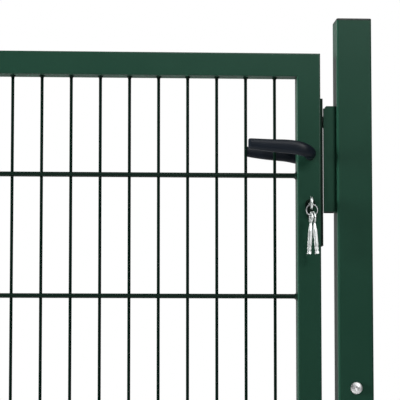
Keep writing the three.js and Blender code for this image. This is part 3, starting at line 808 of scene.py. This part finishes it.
# Sections of the front lever, in millimetres from its spindle.
LEVER_REACH = 109.0
GRIP_START = 33.0
LEVER_STATIONS = [
    # x, distance out, height, half thickness, half height, bend (0 outwards, 1 along X), squareness
    (0.0, 22.8, 0.0, 8.9, 8.9, 0.00, 2.0),
    (0.0, 26.0, 0.0, 8.9, 8.9, 0.00, 2.0),
    (0.0, 33.0, 0.0, 8.8, 8.9, 0.00, 2.0),
    (-0.2, 40.0, 0.1, 8.7, 9.1, 0.03, 2.1),
    (-1.8, 47.0, 0.9, 8.5, 9.9, 0.22, 2.2),
    (-6.0, 53.6, 2.2, 8.1, 11.0, 0.50, 2.35),
    (-12.5, 58.2, 4.2, 7.6, 11.8, 0.78, 2.5),
    (-21.0, 60.4, 6.4, 7.3, 12.0, 0.96, 2.6),
    (-33.0, 60.6, 8.6, 7.2, 11.8, 1.00, 2.7),
    (-48.0, 60.6, 9.8, 7.0, 11.6, 1.00, 2.7),
    (-64.0, 60.6, 10.6, 6.8, 11.0, 1.00, 2.7),
    (-80.0, 60.5, 11.7, 6.6, 10.4, 1.00, 2.7),
    (-95.0, 60.4, 13.0, 6.4, 9.7, 1.00, 2.7),
    (-103.0, 60.3, 13.8, 6.3, 9.2, 1.00, 2.7),
    (-106.5, 60.3, 14.0, 6.0, 8.8, 1.00, 2.7),
    (-108.3, 60.3, 14.0, 5.2, 8.0, 1.00, 2.7),
    (-108.9, 60.3, 14.0, 3.6, 6.4, 1.00, 2.6),
]


def spline(rows, steps):
    """A smooth curve through rows of numbers (Catmull-Rom), with steps points a stretch."""
    table = np.array([rows[0], *rows, rows[-1]], float)
    out = []
    for i in range(1, len(table) - 2):
        a, b, c, d = table[i - 1:i + 3]
        square, cube = 2 * a - 5 * b + 4 * c - d, 3 * b - a - 3 * c + d
        for k in range(steps):
            t = k / steps
            out.append(0.5 * (2 * b + (c - a) * t + square * t * t + cube * t ** 3))
    out.append(table[-2])
    return out


def superellipse(half_u, half_v, power, sides):
    """Points of an oval that is squarer for a greater power, as (u, v)."""
    points = []
    for i in range(sides):
        angle = TURN * i / sides
        c, s = math.cos(angle), math.sin(angle)
        u = half_u * math.copysign(abs(c) ** (2 / power), c)
        v = half_v * math.copysign(abs(s) ** (2 / power), s)
        points.append((u, v))
    return points


def make_lever(face, side):
    """A moulded lever: a round neck that bends into a grip of soft oblong section.

    side is -1 in front and 1 behind. The grip is stretched to the length of the node."""
    node = f"{face}_lever"
    low, high = corners(node)
    neck_radius = 9 * MM
    hub = high.x - neck_radius
    height = middle("spindle").z
    stretch = ((hub - low.x) / MM - GRIP_START) / (LEVER_REACH - GRIP_START)
    rings = []
    for x, y, z, thick, tall, bend, power in spline(LEVER_STATIONS, 4):
        if x < -GRIP_START:
            x = -GRIP_START + (x + GRIP_START) * stretch
        turn = bend * TURN / 4
        across = Vector((math.cos(turn), side * math.sin(turn), 0.0))
        centre = Vector((hub + x * MM, side * y * MM, height + z * MM))
        ring = superellipse(thick * MM, tall * MM, power, 36)
        rings.append([centre + across * u + Vector((0, 0, v)) for u, v in ring])
    shell = Shell().loft(rings)
    shell.piece(f"{node}_moulded", "lever_nylon", "lever_set", [node], angle=60.0)


# ------------------------------------------------------------------ keys and ring

def bow_disc(shell, centre, radius, half, hole_radius, hole_offset, sides=40):
    """A round bow standing across X, its rim rounded, with a hole off its middle."""
    centre = Vector(centre)
    hole = centre + Vector(hole_offset)
    edge, hole_edge = 0.45 * half, 0.25 * MM
    corner = 0.3 * edge
    rows = [
        # middle, radius, x
        (centre, radius - edge, -half),
        (centre, radius - corner, -half + corner),
        (centre, radius, -half + edge),
        (centre, radius, half - edge),
        (centre, radius - corner, half - corner),
        (centre, radius - edge, half),
        (hole, hole_radius + hole_edge, half),
        (hole, hole_radius, half - hole_edge),
        (hole, hole_radius, -half + hole_edge),
        (hole, hole_radius + hole_edge, -half),
    ]
    rings = [[at + Vector((x, u, v)) for u, v in circle(r, sides)] for at, r, x in rows]
    shell.loft(rings, closed=True)


def cross_outline(wings, thickness):
    """A cross of four wings, each with its own half length, in millimetres."""
    t = thickness / 2
    right, top, left, bottom = wings
    points = [
        (right, -t), (right, t), (t, t), (t, top), (-t, top), (-t, t),
        (-left, t), (-left, -t), (-t, -t), (-t, -bottom), (t, -bottom), (t, -t),
    ]
    return [(u * MM, v * MM) for u, v in points]


# How deep each wing is cut, in millimetres, row by row towards the tip. The first row is uncut.
KEY_CUTS = [
    (0.0, 0.0, 0.0, 0.0),
    (0.7, 0.0, 0.5, 0.3),
    (0.2, 0.8, 0.0, 0.9),
    (0.9, 0.4, 0.7, 0.0),
    (0.0, 0.9, 0.3, 0.6),
]


def cut_blade(shell, axis, centre, start, end, width, end_width, thickness=2.2, cut_length=3.2):
    """A cross-shaped blade whose wings are notched near its end. Its widths are in millimetres."""
    length = end - start
    step = MM if length > 0 else -MM
    cuts_start = end - (len(KEY_CUTS) * cut_length + 2.0) * step
    uncut = KEY_CUTS[0]

    def section(at, cut, chamfer=0.0):
        full = width + (end_width - width) * (at - start) / length
        return at, cross_outline([full / 2 - c - chamfer for c in cut], thickness)

    layers = [section(start, uncut)]
    for i, cut in enumerate(KEY_CUTS):
        low = cuts_start + i * cut_length * step
        layers += [section(low + 0.5 * step, cut), section(low + (cut_length - 0.3) * step, cut)]
    layers += [section(end - 0.8 * step, uncut), section(end, uncut, chamfer=0.5)]
    shell.stack(axis, centre, layers)


def make_key_in_lock():
    """The key in the front plug, its bow upright and edge-on to the front."""
    low, high = corners("key_in_lock")
    centre = (low + high) / 2
    radius, half, hole, offset, width = (high.z - low.z) / 2, 1.6 * MM, 4.0 * MM, 5.0 * MM, 6.3
    blade_start = low.y + 2 * radius - 2 * MM
    shell = Shell()
    place = (centre.x, low.y + radius, centre.z)
    bow_disc(shell, place, radius, half, hole, (0.0, -offset, 0.0))
    cut_blade(shell, "y", (centre.x, 0.0, centre.z), blade_start, high.y, width, width)
    shell.piece("key_in_lock_cut", "nickel_plate", "key_set", ["key_in_lock"], angle=28.0)


SPARE_TURN = 9.0  # degrees about the key's own length
SPARE_KEYS = {
    # across from the ring's middle in millimetres, lean in degrees, body
    "spare_key_a": (-1.2, 3.5, "spare_key_left"),
    "spare_key_b": (3.0, -4.8, "spare_key_right"),
}
# Height from the point that the key hangs by, and width: both in millimetres.
SPARE_NECK = [(-10.0, 2.4), (-12.5, 2.9), (-17.0, 4.2), (-21.5, 5.6), (-24.5, 6.3), (-26.0, 6.42)]
SPARE_BLADE = [(-26.0, 6.4), (-65.5, 7.2)]


def make_spare_key(node):
    """A key on the ring, hung from the hole in its bow. It is drawn about that point."""
    across, lean, body = SPARE_KEYS[node]
    ring_radius, bow_radius, bow_half, hole = 9.6, 10.0, 1.2, 3.2
    hole_offset, hole_drop = 1.5, 1.7
    origin = (0.0, 0.0, 0.0)
    shell = Shell()
    bow_disc(
        shell, (0.0, 0.0, -(hole_offset + hole_drop) * MM), bow_radius * MM, bow_half * MM,
        hole * MM, (0.0, 0.0, hole_offset * MM),
    )
    neck = [(at * MM, cross_outline([width / 2] * 4, 2.2)) for at, width in SPARE_NECK]
    shell.stack("z", origin, neck)
    (start, width), (end, end_width) = SPARE_BLADE
    cut_blade(shell, "z", origin, start * MM, end * MM, width, end_width)
    drop = math.sqrt(ring_radius ** 2 - across ** 2)
    place = middle("key_ring") + Vector((across, 0.0, -drop)) * MM
    turn = Matrix.Rotation(math.radians(lean), 4, "Y")
    turn = turn @ Matrix.Rotation(math.radians(SPARE_TURN), 4, "Z")
    shell.points = [place + turn @ point for point in shell.points]
    shell.piece(f"{node}_cut", "nickel_plate", body, [node], angle=28.0)


def make_split_ring():
    """A split ring: flat wire wound twice round."""
    low, high = corners("key_ring")
    centre = (low + high) / 2
    radius = (high.x - low.x) / 2 - 0.9 * MM
    half_width, half_depth = 0.88 * MM, 0.36 * MM
    offset = (high.y - low.y) / 2 - half_depth - 0.02 * MM
    turns, steps, sides, start_angle = 1.92, 110, 10, 0.7
    step_over, step_length = 0.42, 0.16  # where the wire crosses from one turn to the next
    rings = []
    for i in range(steps + 1):
        t = i / steps
        angle = TURN * turns * t + start_angle
        y = -offset + 2 * offset * min(1.0, max(0.0, (t - step_over) / step_length))
        out = Vector((math.cos(angle), 0.0, math.sin(angle)))
        place = centre + out * radius + Vector((0, y, 0))
        ends = min(1.0, 0.5 + min(i, steps - i) * 0.25)
        section = superellipse(half_width * ends, half_depth * ends, 3.0, sides)
        rings.append([place + out * u + Vector((0, v, 0)) for u, v in section])
    shell = Shell().loft(rings)
    shell.piece("split_ring", "zinc_plate", "ring_set", ["key_ring"], angle=50.0)


# ------------------------------------------------------------------ nodes that stay

# How far edges are softened, in millimetres.
EDGE_WIDTH = 0.25
EDGE_WIDTHS = {
    "strike_keep": 0.8,
    "hinge_bracket_upper": 0.8,
    "hinge_bracket_lower": 0.8,
    "forend": 0.2,
    "front_lever_bush": 0.5,
    "rear_lever_bush": 0.5,
    "latch_bolt": 0.5,
    "deadbolt": 0.5,
}


def refine(node, slot, width, segments=2, angle=32.0):
    """Gives a node its material, and softens its edges by width."""
    obj = frame["nodes"][node]
    obj.data.materials.clear()
    obj.data.materials.append(MATERIALS[slot])
    flat = obj.modifiers.new("merge_flats", "DECIMATE")
    flat.decimate_type = "DISSOLVE"
    flat.angle_limit = math.radians(0.6)
    edges = obj.modifiers.new("soft_edges", "BEVEL")
    edges.width = width
    edges.segments = segments
    edges.limit_method = "ANGLE"
    edges.angle_limit = math.radians(angle)
    smooth(obj, angle)


def finish_nodes():
    """Refines every node that no piece has replaced."""
    slots = {row["node"]: row["material_slot"] for row in frame["record"]["subparts"]}
    for node, obj in frame["nodes"].items():
        if not obj.hide_render:
            refine(node, slots[node], EDGE_WIDTHS.get(node, EDGE_WIDTH) * MM)


# ------------------------------------------------------------------ the scene

def main():
    make_camera()
    make_lights()
    make_world()
    make_floor()
    bpy.context.scene.view_settings.view_transform = "Standard"

    for side in ("hinge", "latch"):
        make_post(side)
        make_cap(side)
        for level in ("upper", "lower"):
            make_dome_bolt(f"{side}_post_panel_bolt_{level}")
            make_flange_nut(f"{side}_post_panel_nut_{level}")
    make_leaf_frame()
    make_mesh_panel()
    for level in ("upper", "lower"):
        make_hinge(level)
    make_welds()
    make_lever("front", -1)
    make_lever("rear", 1)
    make_key_in_lock()
    for node in SPARE_KEYS:
        make_spare_key(node)
    make_split_ring()
    finish_nodes()


main()
